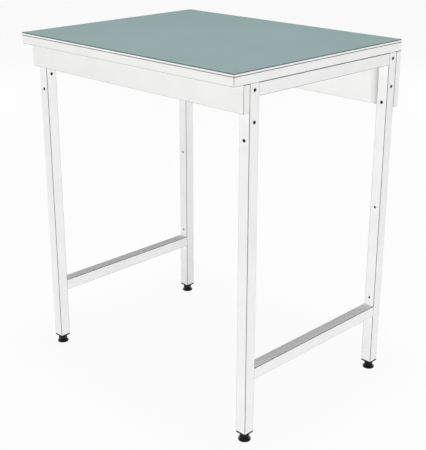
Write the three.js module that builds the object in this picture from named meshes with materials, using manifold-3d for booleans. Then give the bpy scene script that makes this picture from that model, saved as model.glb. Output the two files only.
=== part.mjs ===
// Weighing balance table: a laminated worktop on two tubular side frames, tied by a front
// and a rear apron board, standing on four levelling feet.
// Millimetres, +Z up. The origin is on the floor, under the middle of the worktop.
// The user stands on the -Y side.

import * as THREE from 'three';
import { mergeVertices } from 'three/addons/utils/BufferGeometryUtils.js';
import Module from 'manifold-3d';

const wasm = await Module();
wasm.setup();

// Overall size
const TABLE_WIDTH = 750;
const TABLE_DEPTH = 600;
const TABLE_HEIGHT = 900;

// Worktop: a decor sheet on a white panel on a white board
const DECOR_THICKNESS = 1;
const PANEL_THICKNESS = 6;
const BOARD_THICKNESS = 21;
const WORKTOP_CORNER_RADIUS = 1.5;
const WORKTOP_ARRIS = 0.5;
const DECOR_ARRIS = 0.3;
const FRONT_OVERHANG = 30;

// Square tube of the side frames
const TUBE_SIZE = 30;
const TUBE_WALL = 1.5;
const TUBE_CORNER_RADIUS = 2;
const CROSSBAR_TOP = 192;

// Apron boards: screwed up into the worktop from counterbores in their lower edge, which leave
// a web of board above the screw's head; the rear one has pockets for nuts in its back
const APRON_THICKNESS = 19;
const APRON_CORNER_RADIUS = 1.5;
const APRON_ARRIS = 0.5;
const FRONT_APRON_DEPTH = 62;
const REAR_APRON_DEPTH = 140;
const COUNTERBORE_DIAMETER = 12;
const COUNTERBORE_WEB = 25;
const NUT_POCKET_DIAMETER = 12;
const NUT_POCKET_DEPTH = 8;

// Drilling of the legs: joining holes down from the board, apron screws up from the lower edge
// of the rear apron, accessory holes of the rear legs up from the crossbar
const JOINING_HOLE_DROP = 15;
const JOINING_HOLE_PITCH = 70;
const APRON_SCREW_EDGE = 15;
const ACCESSORY_HOLE_RISE = 22;
const ACCESSORY_HOLE_PITCH = 256;
const ACCESSORY_HOLE_DIAMETER = 4.5;

// Domed plugs that close the leg holes
const PLUG_RIM = 1;
const PLUG_HEAD_HEIGHT = 1.6;
const PLUG_STEM_DIAMETER = 6;
const PLUG_STEM_LENGTH = 6;
const PLUG_STEM_TAPER = 0.6;

// Screws and nuts
const APRON_SCREW_DIAMETER = 5;
const APRON_SCREW_HEAD_DIAMETER = 8.5;
const APRON_SCREW_HEAD_HEIGHT = 2.4;
const APRON_SCREW_TIP = 2;
const APRON_NUT_ACROSS_FLATS = 8;
const APRON_NUT_HEIGHT = 4;
const WOOD_SCREW_DIAMETER = 4.5;
const WOOD_SCREW_HEAD_DIAMETER = 9;
const WOOD_SCREW_HEAD_HEIGHT = 2.6;
const WOOD_SCREW_COVER = 8;
const WOOD_SCREW_POINT = 4;
const RAIL_SCREW_INSET = 60;
const APRON_BOARD_SCREW_SPACING = 500;
const SOCKET_ACROSS_FLATS = 3;
const SOCKET_DEPTH = 1.4;

// Levelling feet
const FOOT_RETRACTION = 3.7;
const CAP_FLANGE = 5;
const CAP_ARRIS = 1;
const INSERT_LENGTH = 22;
const INSERT_RIBS = 3;
const INSERT_RIB_HEIGHT = 2.5;
const INSERT_RIB_DEPTH = 1.2;
const PAD_DIAMETER = 31;
const PAD_RIM_HEIGHT = 4;
const PAD_EDGE = 1;
const PAD_HEIGHT = 7;
const PAD_CROWN_DIAMETER = 22;
const PAD_FLOOR = 3;
const COLLAR_ACROSS_FLATS = 21;
const COLLAR_HEIGHT = 9;
const COLLAR_CHAMFER = 1;
const STUD_DIAMETER = 10;
const STUD_TIP_CHAMFER = 1.5;
const STUD_REACH = 15;

// Clearances
const GAP = 0.3;

// Facets of round forms
const CORNER_SEGMENTS = 1;
const SMALL_ROUND = 12;
const LARGE_ROUND = 24;
const DOME_STEPS = 3;
const WELD_TOLERANCE = 1e-4;

// Levels and lines that pieces share
const boardUnderside = TABLE_HEIGHT - DECOR_THICKNESS - PANEL_THICKNESS - BOARD_THICKNESS;
const footHeight = PAD_HEIGHT + GAP + COLLAR_HEIGHT + FOOT_RETRACTION;
const legBottom = footHeight + CAP_FLANGE;
const legLength = boardUnderside - legBottom;
const legX = TABLE_WIDTH / 2 - TUBE_SIZE / 2;
const frontApronFace = -TABLE_DEPTH / 2 + FRONT_OVERHANG;
const frontLegY = frontApronFace + APRON_THICKNESS + TUBE_SIZE / 2;
const rearLegY = TABLE_DEPTH / 2 - APRON_THICKNESS - TUBE_SIZE / 2;
const railLength = rearLegY - frontLegY - TUBE_SIZE;
const railMiddleY = (frontLegY + rearLegY) / 2;
const apronScrewDrop = REAR_APRON_DEPTH - APRON_SCREW_EDGE;
const tubeBore = TUBE_SIZE - 2 * TUBE_WALL;
const plugHoleRadius = PLUG_STEM_DIAMETER / 2 + GAP;
const apronScrewHoleRadius = APRON_SCREW_DIAMETER / 2 + GAP;
const woodScrewHoleRadius = WOOD_SCREW_DIAMETER / 2 + GAP;
const woodScrewBite = BOARD_THICKNESS - WOOD_SCREW_COVER;
const boreRadius = STUD_DIAMETER / 2 + GAP;

const sides = [
  { side: 'left', sx: -1 },
  { side: 'right', sx: 1 },
];
const corners = sides.flatMap(({ side, sx }) => [
  { name: `front_${side}`, sx, y: frontLegY, front: true },
  { name: `rear_${side}`, sx, y: rearLegY, front: false },
]);

// Finishes
const finishes = {
  decor: { color: 0x94a8a8, roughness: 0.45, metalness: 0 },
  board: { color: 0xf2f2f0, roughness: 0.5, metalness: 0 },
  paint: { color: 0xeeeeee, roughness: 0.4, metalness: 0.1 },
  blackPlastic: { color: 0x1c1c1e, roughness: 0.5, metalness: 0 },
  blackSteel: { color: 0x242426, roughness: 0.4, metalness: 0.7 },
  zinc: { color: 0xb4b8ba, roughness: 0.35, metalness: 0.9 },
};

function piece(name, geometry, finish) {
  const mesh = new THREE.Mesh(geometry, new THREE.MeshStandardMaterial(finish));
  mesh.name = name;
  return mesh;
}

function placed(object, x, y, z) {
  object.position.set(x, y, z);
  return object;
}

// Solids for cutting and joining
function solidOf(geometry) {
  const bare = geometry.clone();
  bare.deleteAttribute('normal');
  bare.deleteAttribute('uv');
  const merged = mergeVertices(bare, WELD_TOLERANCE);
  const index = merged.index.array;
  const kept = [];
  for (let i = 0; i < index.length; i += 3) {
    const [a, b, c] = [index[i], index[i + 1], index[i + 2]];
    if (a !== b && b !== c && c !== a) kept.push(a, b, c);
  }
  return new wasm.Manifold(new wasm.Mesh({
    numProp: 3,
    vertProperties: new Float32Array(merged.attributes.position.array),
    triVerts: new Uint32Array(kept),
  }));
}

function geometryOf(solid) {
  const { vertProperties, triVerts } = solid.getMesh();
  const geometry = new THREE.BufferGeometry();
  geometry.setAttribute('position', new THREE.BufferAttribute(vertProperties, 3));
  geometry.setIndex(new THREE.BufferAttribute(triVerts, 1));
  geometry.computeVertexNormals();
  return geometry;
}

const joined = (...geometries) =>
  geometryOf(geometries.map(solidOf).reduce((whole, next) => whole.add(next)));

const cut = (geometry, ...tools) =>
  geometryOf(tools.map(solidOf).reduce((rest, tool) => rest.subtract(tool), solidOf(geometry)));

// A rectangle with round corners, centred on the origin
function roundedRectangle(width, height, radius, Outline = THREE.Shape) {
  const [x, y] = [width / 2 - radius, height / 2 - radius];
  const quarter = Math.PI / 2;
  const outline = new Outline();
  outline.absarc(x, -y, radius, -quarter, 0);
  outline.absarc(x, y, radius, 0, quarter);
  outline.absarc(-x, y, radius, quarter, 2 * quarter);
  outline.absarc(-x, -y, radius, 2 * quarter, 3 * quarter);
  outline.closePath();
  return outline;
}

// An extrusion from z = 0 to the given height
function prism(outline, height) {
  return new THREE.ExtrudeGeometry(outline, {
    depth: height,
    bevelEnabled: false,
    curveSegments: CORNER_SEGMENTS,
  });
}

// A flat block from z = 0 with a chamfer round its upper and lower edges
function chamferedBlock(width, depth, height, radius, arris) {
  const chamfer = Math.min(arris, height / 4);
  const innerRadius = Math.max(radius - chamfer, chamfer / 4);
  const outline = roundedRectangle(width - 2 * chamfer, depth - 2 * chamfer, innerRadius);
  const block = new THREE.ExtrudeGeometry(outline, {
    depth: height - 2 * chamfer,
    bevelSize: chamfer,
    bevelThickness: chamfer,
    bevelSegments: 1,
    curveSegments: CORNER_SEGMENTS,
  });
  return block.translate(0, 0, chamfer);
}

// A turned form about the Z axis, from a profile of [radius, height] pairs given upwards
function turned(profile, segments) {
  const points = profile.map(([radius, height]) => new THREE.Vector2(radius, height));
  return geometryOf(solidOf(new THREE.LatheGeometry(points, segments).rotateX(Math.PI / 2)));
}

// A round drill along Z, centred on the origin
function drill(radius, length, segments = SMALL_ROUND) {
  return new THREE.CylinderGeometry(radius, radius, length, segments).rotateX(Math.PI / 2);
}

// A six-sided bar along Z from z = 0, with a flat towards +Y
function hexBar(acrossFlats, height) {
  const radius = acrossFlats / Math.sqrt(3);
  return new THREE.CylinderGeometry(radius, radius, height, 6)
    .rotateX(Math.PI / 2)
    .rotateZ(Math.PI / 6)
    .translate(0, 0, height / 2);
}

// Dome profile from the rim at z = 0 to the crown on the axis
function domeProfile(radius, height) {
  return Array.from({ length: DOME_STEPS + 1 }, (_, step) => {
    const angle = (step / DOME_STEPS) * (Math.PI / 2);
    return [step === DOME_STEPS ? 0 : radius * Math.cos(angle), height * Math.sin(angle)];
  });
}

// Square tube along Z from z = 0
function squareTube(length) {
  const outline = roundedRectangle(TUBE_SIZE, TUBE_SIZE, TUBE_CORNER_RADIUS);
  const boreRadiusInside = Math.max(TUBE_CORNER_RADIUS - TUBE_WALL, TUBE_WALL / 3);
  outline.holes.push(roundedRectangle(tubeBore, tubeBore, boreRadiusInside, THREE.Path));
  return prism(outline, length);
}

// Places of the screws that go up into the board
const railScrewPlaces = sides.flatMap(({ side, sx }) => [-1, 1].map((sy) => ({
  name: `rail_screw_${sy < 0 ? 'front' : 'rear'}_${side}`,
  x: sx * legX,
  y: railMiddleY + sy * (railLength / 2 - RAIL_SCREW_INSET),
})));
const frontApronY = frontApronFace + APRON_THICKNESS / 2;
const rearApronY = TABLE_DEPTH / 2 - APRON_THICKNESS / 2;
const apronScrewPlaces = [['front', frontApronY], ['rear', rearApronY]].flatMap(([end, y]) =>
  sides.map(({ side, sx }) => ({
    name: `${end}_apron_board_screw_${side}`,
    x: sx * APRON_BOARD_SCREW_SPACING / 2,
    y,
  })));
const woodScrewPlaces = [...railScrewPlaces, ...apronScrewPlaces];

// Worktop
function worktop() {
  const group = new THREE.Group();
  const layer = (thickness, arris) =>
    chamferedBlock(TABLE_WIDTH, TABLE_DEPTH, thickness, WORKTOP_CORNER_RADIUS, arris);
  const pilots = woodScrewPlaces.map(({ x, y }) =>
    drill(woodScrewHoleRadius, 2 * (woodScrewBite + GAP)).translate(x, y, 0));
  const board = cut(layer(BOARD_THICKNESS, WORKTOP_ARRIS), ...pilots);
  const panel = piece('worktop_panel', layer(PANEL_THICKNESS, WORKTOP_ARRIS), finishes.board);
  const decor = piece('worktop_decor', layer(DECOR_THICKNESS, DECOR_ARRIS), finishes.decor);
  group.add(
    piece('worktop_board', board, finishes.board),
    placed(panel, 0, 0, BOARD_THICKNESS),
    placed(decor, 0, 0, BOARD_THICKNESS + PANEL_THICKNESS),
  );
  return placed(group, 0, 0, boardUnderside);
}

// Legs: through-drilled across the table near the top, and along it at the apron screws
function leg(front) {
  const across = 2 * TUBE_SIZE;
  const holes = [];
  for (const drop of [JOINING_HOLE_DROP, JOINING_HOLE_DROP + JOINING_HOLE_PITCH]) {
    holes.push(drill(plugHoleRadius, across).rotateY(Math.PI / 2).translate(0, 0, legLength - drop));
  }
  const apronHole = drill(front ? plugHoleRadius : apronScrewHoleRadius, across).rotateX(Math.PI / 2);
  holes.push(apronHole.translate(0, 0, legLength - apronScrewDrop));
  if (!front) {
    for (const rise of [ACCESSORY_HOLE_RISE, ACCESSORY_HOLE_RISE + ACCESSORY_HOLE_PITCH]) {
      holes.push(drill(ACCESSORY_HOLE_DIAMETER / 2, TUBE_SIZE)
        .rotateX(Math.PI / 2)
        .translate(0, -TUBE_SIZE / 2, CROSSBAR_TOP + rise - legBottom));
    }
  }
  return cut(squareTube(legLength), ...holes);
}

// A tube along Y, centred on its length
const tubeAlongY = (length) => squareTube(length).translate(0, 0, -length / 2).rotateX(Math.PI / 2);

function upperRail() {
  const holes = [-1, 1].map((sy) =>
    drill(woodScrewHoleRadius, 2 * TUBE_SIZE).translate(0, sy * (railLength / 2 - RAIL_SCREW_INSET), 0));
  return cut(tubeAlongY(railLength), ...holes);
}

// Side frames
function sideFrame({ side, sx }) {
  const group = new THREE.Group();
  for (const { name, y, front } of corners.filter((corner) => corner.sx === sx)) {
    group.add(placed(piece(`leg_${name}`, leg(front), finishes.paint), 0, y, legBottom));
  }
  const rail = piece(`upper_rail_${side}`, upperRail(), finishes.paint);
  const crossbar = piece(`lower_crossbar_${side}`, tubeAlongY(railLength), finishes.paint);
  group.add(
    placed(rail, 0, railMiddleY, boardUnderside - TUBE_SIZE / 2),
    placed(crossbar, 0, railMiddleY, CROSSBAR_TOP - TUBE_SIZE / 2),
  );
  return placed(group, sx * legX, 0, 0);
}

// An apron board: its front face is at y = 0 and faces -Y, its upper edge is at z = 0
function apronBoard(depth) {
  const board = chamferedBlock(TABLE_WIDTH, depth, APRON_THICKNESS, APRON_CORNER_RADIUS, APRON_ARRIS)
    .rotateX(-Math.PI / 2)
    .translate(0, 0, -depth / 2);
  const screwHoles = sides.flatMap(({ sx }) => {
    const x = sx * APRON_BOARD_SCREW_SPACING / 2;
    const y = APRON_THICKNESS / 2;
    return [
      drill(woodScrewHoleRadius, 2 * depth).translate(x, y, 0),
      drill(COUNTERBORE_DIAMETER / 2, 2 * (depth - COUNTERBORE_WEB)).translate(x, y, -depth),
    ];
  });
  return cut(board, ...screwHoles);
}

// The rear board is also drilled for the screws through the rear legs
function rearApronBoard() {
  const holes = sides.flatMap(({ sx }) => {
    const pocket = drill(NUT_POCKET_DIAMETER / 2, 2 * NUT_POCKET_DEPTH).rotateX(Math.PI / 2);
    const hole = drill(apronScrewHoleRadius, 4 * APRON_THICKNESS).rotateX(Math.PI / 2);
    return [
      hole.translate(sx * legX, 0, -apronScrewDrop),
      pocket.translate(sx * legX, APRON_THICKNESS, -apronScrewDrop),
    ];
  });
  return cut(apronBoard(REAR_APRON_DEPTH), ...holes);
}

function aprons() {
  const group = new THREE.Group();
  const rearApronFace = rearLegY + TUBE_SIZE / 2;
  const front = piece('front_apron', apronBoard(FRONT_APRON_DEPTH), finishes.board);
  const rear = piece('rear_apron', rearApronBoard(), finishes.board);
  group.add(
    placed(front, 0, frontApronFace, boardUnderside),
    placed(rear, 0, rearApronFace, boardUnderside),
  );
  return group;
}

// A plug along +Z: the underside of its head is at z = 0
function plug() {
  const stem = PLUG_STEM_DIAMETER / 2;
  return turned([
    [0, -PLUG_STEM_LENGTH],
    [stem - PLUG_STEM_TAPER, -PLUG_STEM_LENGTH],
    [stem, -PLUG_STEM_LENGTH / 2],
    [stem, 0],
    ...domeProfile(stem + PLUG_RIM, PLUG_HEAD_HEIGHT),
  ], SMALL_ROUND);
}

// Plugs close every through hole of the legs that carries no screw, on both faces
function plugs() {
  const group = new THREE.Group();
  const seat = TUBE_SIZE / 2 + GAP;
  for (const { name, sx, y, front } of corners) {
    const spots = [];
    const drops = { upper: JOINING_HOLE_DROP, lower: JOINING_HOLE_DROP + JOINING_HOLE_PITCH };
    for (const [level, drop] of Object.entries(drops)) {
      spots.push({ face: `outer_${level}`, drop, facing: [sx, 0] });
      spots.push({ face: `inner_${level}`, drop, facing: [-sx, 0] });
    }
    if (front) {
      spots.push({ face: 'front', drop: apronScrewDrop, facing: [0, -1] });
      spots.push({ face: 'back', drop: apronScrewDrop, facing: [0, 1] });
    }
    for (const { face, drop, facing: [fx, fy] } of spots) {
      const mesh = piece(`plug_${name}_${face}`, plug(), finishes.blackPlastic);
      mesh.quaternion.setFromUnitVectors(new THREE.Vector3(0, 0, 1), new THREE.Vector3(fx, fy, 0));
      group.add(placed(mesh, sx * legX + fx * seat, y + fy * seat, boardUnderside - drop));
    }
  }
  return group;
}

// A screw along +Z: the underside of its domed head is at z = 0 and its shank points down
function socketScrew(length) {
  const shank = APRON_SCREW_DIAMETER / 2;
  const body = turned([
    [0, -length],
    [shank, -length],
    [shank, 0],
    ...domeProfile(APRON_SCREW_HEAD_DIAMETER / 2, APRON_SCREW_HEAD_HEIGHT),
  ], SMALL_ROUND);
  const socket = hexBar(SOCKET_ACROSS_FLATS, 2 * SOCKET_DEPTH)
    .translate(0, 0, APRON_SCREW_HEAD_HEIGHT - SOCKET_DEPTH);
  return cut(body, socket);
}

// Screws through the rear legs, with nuts in the pockets of the rear apron
function apronScrews() {
  const group = new THREE.Group();
  const headSeat = rearLegY - TUBE_SIZE / 2 - GAP;
  const nutSeat = rearLegY + TUBE_SIZE / 2 + APRON_THICKNESS - NUT_POCKET_DEPTH + GAP;
  const length = nutSeat + APRON_NUT_HEIGHT + APRON_SCREW_TIP - headSeat;
  for (const { side, sx } of sides) {
    const screw = piece(`apron_screw_${side}`, socketScrew(length), finishes.blackSteel);
    screw.rotation.x = Math.PI / 2;
    group.add(placed(screw, sx * legX, headSeat, boardUnderside - apronScrewDrop));
    const nutBlank = hexBar(APRON_NUT_ACROSS_FLATS, APRON_NUT_HEIGHT);
    const nutBore = drill(apronScrewHoleRadius, 4 * APRON_NUT_HEIGHT);
    const nut = piece(`apron_nut_${side}`, cut(nutBlank, nutBore), finishes.zinc);
    nut.rotation.x = -Math.PI / 2;
    group.add(placed(nut, sx * legX, nutSeat, boardUnderside - apronScrewDrop));
  }
  return group;
}

// A wood screw pointing up: the upper side of its head is at z = 0
function woodScrew(length) {
  const shank = WOOD_SCREW_DIAMETER / 2;
  const dome = domeProfile(WOOD_SCREW_HEAD_DIAMETER / 2, WOOD_SCREW_HEAD_HEIGHT)
    .map(([radius, height]) => [radius, -height])
    .reverse();
  return turned([
    ...dome,
    [shank, 0],
    [shank, length - WOOD_SCREW_POINT],
    [0, length],
  ], SMALL_ROUND);
}

function woodScrews() {
  const group = new THREE.Group();
  const railSeat = boardUnderside - TUBE_SIZE - GAP;
  const apronSeat = boardUnderside - COUNTERBORE_WEB - GAP;
  const tip = boardUnderside + woodScrewBite;
  for (const [places, seat] of [[railScrewPlaces, railSeat], [apronScrewPlaces, apronSeat]]) {
    for (const { name, x, y } of places) {
      group.add(placed(piece(name, woodScrew(tip - seat), finishes.zinc), x, y, seat));
    }
  }
  return group;
}

// End cap of a leg: a flange under the tube and a ribbed insert inside it, bored for the stud
function endCap() {
  const flange = chamferedBlock(TUBE_SIZE, TUBE_SIZE, CAP_FLANGE, TUBE_CORNER_RADIUS, CAP_ARRIS);
  const ribSize = tubeBore - 2 * GAP;
  const coreSize = ribSize - 2 * INSERT_RIB_DEPTH;
  const core = prism(roundedRectangle(coreSize, coreSize, TUBE_CORNER_RADIUS), CAP_FLANGE + INSERT_LENGTH);
  const ribPitch = INSERT_LENGTH / INSERT_RIBS;
  const ribs = Array.from({ length: INSERT_RIBS }, (_, n) =>
    prism(roundedRectangle(ribSize, ribSize, TUBE_CORNER_RADIUS), INSERT_RIB_HEIGHT)
      .translate(0, 0, CAP_FLANGE + (n + 1) * ribPitch - INSERT_RIB_HEIGHT));
  const bore = drill(boreRadius, 4 * (CAP_FLANGE + INSERT_LENGTH), LARGE_ROUND);
  return cut(joined(flange, core, ...ribs), bore);
}

// Pad of a foot, with a blind socket for the end of the stud
function footPad() {
  const radius = PAD_DIAMETER / 2;
  return turned([
    [0, 0],
    [radius - PAD_EDGE, 0],
    [radius, PAD_EDGE],
    [radius, PAD_RIM_HEIGHT - PAD_EDGE],
    [radius - PAD_EDGE, PAD_RIM_HEIGHT],
    [PAD_CROWN_DIAMETER / 2, PAD_HEIGHT],
    [boreRadius, PAD_HEIGHT],
    [boreRadius, PAD_FLOOR],
    [0, PAD_FLOOR],
  ], LARGE_ROUND);
}

// Stud with a six-sided collar: z = 0 is the underside of the collar
function footStud() {
  const radius = STUD_DIAMETER / 2;
  const top = COLLAR_HEIGHT + FOOT_RETRACTION + CAP_FLANGE + INSERT_LENGTH + STUD_REACH;
  const bottom = PAD_FLOOR - PAD_HEIGHT;
  const rod = turned([
    [0, bottom],
    [radius, bottom],
    [radius, top - STUD_TIP_CHAMFER],
    [radius - STUD_TIP_CHAMFER, top],
    [0, top],
  ], LARGE_ROUND);
  const corner = COLLAR_ACROSS_FLATS / Math.sqrt(3);
  const blank = turned([
    [0, 0],
    [corner - COLLAR_CHAMFER, 0],
    [corner, COLLAR_CHAMFER],
    [corner, COLLAR_HEIGHT - COLLAR_CHAMFER],
    [corner - COLLAR_CHAMFER, COLLAR_HEIGHT],
    [0, COLLAR_HEIGHT],
  ], LARGE_ROUND);
  const collar = solidOf(hexBar(COLLAR_ACROSS_FLATS, COLLAR_HEIGHT)).intersect(solidOf(blank));
  return geometryOf(collar.add(solidOf(rod)));
}

function feet() {
  const group = new THREE.Group();
  for (const { name, sx, y } of corners) {
    const x = sx * legX;
    group.add(
      placed(piece(`leg_cap_${name}`, endCap(), finishes.blackPlastic), x, y, footHeight),
      placed(piece(`foot_stud_${name}`, footStud(), finishes.blackSteel), x, y, PAD_HEIGHT + GAP),
      placed(piece(`foot_pad_${name}`, footPad(), finishes.blackPlastic), x, y, 0),
    );
  }
  return group;
}

const table = new THREE.Group();
table.name = 'weighing_balance_table';
table.add(
  worktop(),
  ...sides.map(sideFrame),
  aprons(),
  plugs(),
  apronScrews(),
  woodScrews(),
  feet(),
);

export default table;
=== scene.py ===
"""Dresses the weighing balance table: its fine forms, its finishes, the studio and the camera.

Lengths are in metres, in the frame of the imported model: +Z up, the user on the -Y side.
"""

import logging
import math
from contextlib import contextmanager
from dataclasses import dataclass
from enum import Enum, StrEnum
from itertools import pairwise
from typing import Any, Callable, Iterable, Iterator, Sequence

import bmesh
import bpy
from mathutils import Matrix, Vector


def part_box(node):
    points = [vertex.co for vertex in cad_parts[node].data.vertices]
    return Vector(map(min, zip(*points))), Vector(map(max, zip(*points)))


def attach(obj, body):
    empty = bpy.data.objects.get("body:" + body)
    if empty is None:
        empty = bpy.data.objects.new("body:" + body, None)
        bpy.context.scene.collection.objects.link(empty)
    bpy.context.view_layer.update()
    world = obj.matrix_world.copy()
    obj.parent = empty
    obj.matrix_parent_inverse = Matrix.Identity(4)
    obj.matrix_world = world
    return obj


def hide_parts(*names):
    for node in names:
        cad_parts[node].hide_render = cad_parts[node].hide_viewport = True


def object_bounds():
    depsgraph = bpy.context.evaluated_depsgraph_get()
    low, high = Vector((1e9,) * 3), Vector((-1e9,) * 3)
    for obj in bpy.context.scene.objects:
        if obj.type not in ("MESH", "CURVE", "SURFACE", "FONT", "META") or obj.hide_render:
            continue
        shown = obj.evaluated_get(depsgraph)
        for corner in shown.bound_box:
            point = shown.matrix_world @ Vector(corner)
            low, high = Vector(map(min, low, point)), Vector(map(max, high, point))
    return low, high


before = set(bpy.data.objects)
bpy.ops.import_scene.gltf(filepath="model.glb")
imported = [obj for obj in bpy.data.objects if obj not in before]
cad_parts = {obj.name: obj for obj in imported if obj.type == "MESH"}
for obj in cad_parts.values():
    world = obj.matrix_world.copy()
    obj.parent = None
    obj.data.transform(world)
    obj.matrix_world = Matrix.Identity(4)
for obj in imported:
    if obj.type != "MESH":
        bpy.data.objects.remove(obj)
cad_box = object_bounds()

log = logging.getLogger("balance_table")

TABLE_BODY = "table"
MM = 0.001
X, Y, Z = range(3)
UP = Vector((0, 0, 1))
TOWARDS_USER = Vector((0, -1, 0))
HEX_SIDES = 6
HEX_HALF_ANGLE = math.pi / HEX_SIDES

# Points this close are one point, points this close to a plane lie in it, and a face with its
# middle deeper than this under a board's own faces is in a hole.
SLIVER = 0.0005 * MM
IN_PLANE = 0.01 * MM
BOARD_SKIN = 1.6 * MM

# Least shares along an axis: of an edge that runs along it, of a normal square to it.
ALONG = 0.999
SQUARE_ON = 0.99

# Bands of values: the middle of a noise, and a normal's largest share along an axis, from a flat
# face to the middle of a rounding.
NOISE_BAND = (0.3, 0.7)
ROUNDING_BAND = (0.99, 0.86)

# Facets of round corners and eased arrises, and sides of holes.
CORNER_FACETS = 5
OUTLINE_FACETS = 4
ARRIS_FACETS = 1
HOLE_SIDES = 32
BORE_SIDES = 48

# The sharpest bends that are shaded smooth, in degrees: on most pieces, and on hexagons.
SOFT_BEND = 40.0
HEX_BEND = 30.0

# The steps of a thread's turn, the turns that go to its cut ends, and shares of its pitch. Its
# lead-in is a little over one pitch, so that no point of it lies in the plane of the cut there.
THREAD_STEPS = 32
SPARE_TURNS = 2
THREAD_DEPTH = 0.6
FLANK_RISE = 0.4
LEAD_IN = 1.013
MERGE_SHARE = 1e-3
CUT_SHARE = 1e-4

# Where the middle of an eased edge lies, as a share of the easing, and how wide a tip is.
EASED = 0.3
TIP = 0.1

Colour = tuple[float, float, float, float]
Pair = tuple[float, float]
Box = tuple[Vector, Vector]
Test = Callable[[Any], bool]
Socket = bpy.types.NodeSocket


def linear(*channels: int) -> Colour:
    """Undoes the sRGB curve on channels of 0 to 255, for a shader, and adds the opacity."""
    shares = (channel / 255 for channel in channels)
    return (*(x / 12.92 if x <= 0.04045 else ((x + 0.055) / 1.055) ** 2.4 for x in shares), 1.0)


def dome(radius: float, height: float, steps: int) -> list[Pair]:
    """Lists the sections of a dome, from its rim to the last step below its crown.

    Args:
        radius: The radius at the rim.
        height: The crown's height above the rim.
        steps: How many steps there are from rim to crown.

    Returns:
        Pairs of a section's radius and its height.
    """
    angles = [step / steps * math.pi / 2 for step in range(steps)]
    return [(radius * math.cos(angle), height * math.sin(angle)) for angle in angles]


class Side(StrEnum):
    """A side of the table, as its user sees it."""

    LEFT = "left"
    RIGHT = "right"


class End(StrEnum):
    """The front or the rear of the table."""

    FRONT = "front"
    REAR = "rear"


class Outline(Enum):
    """The outline that a stacked form starts from."""

    ROUND = "round"
    HEXAGON = "hexagon"
    SQUARE = "square"


class Part(Enum):
    """What an operator's selection is made of."""

    VERTEX = "VERT"
    EDGE = "EDGE"
    FACE = "FACE"


class Work(Enum):
    """What a tool does to a piece."""

    CUT = "DIFFERENCE"
    JOIN = "UNION"
    TRIM = "INTERSECT"


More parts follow.
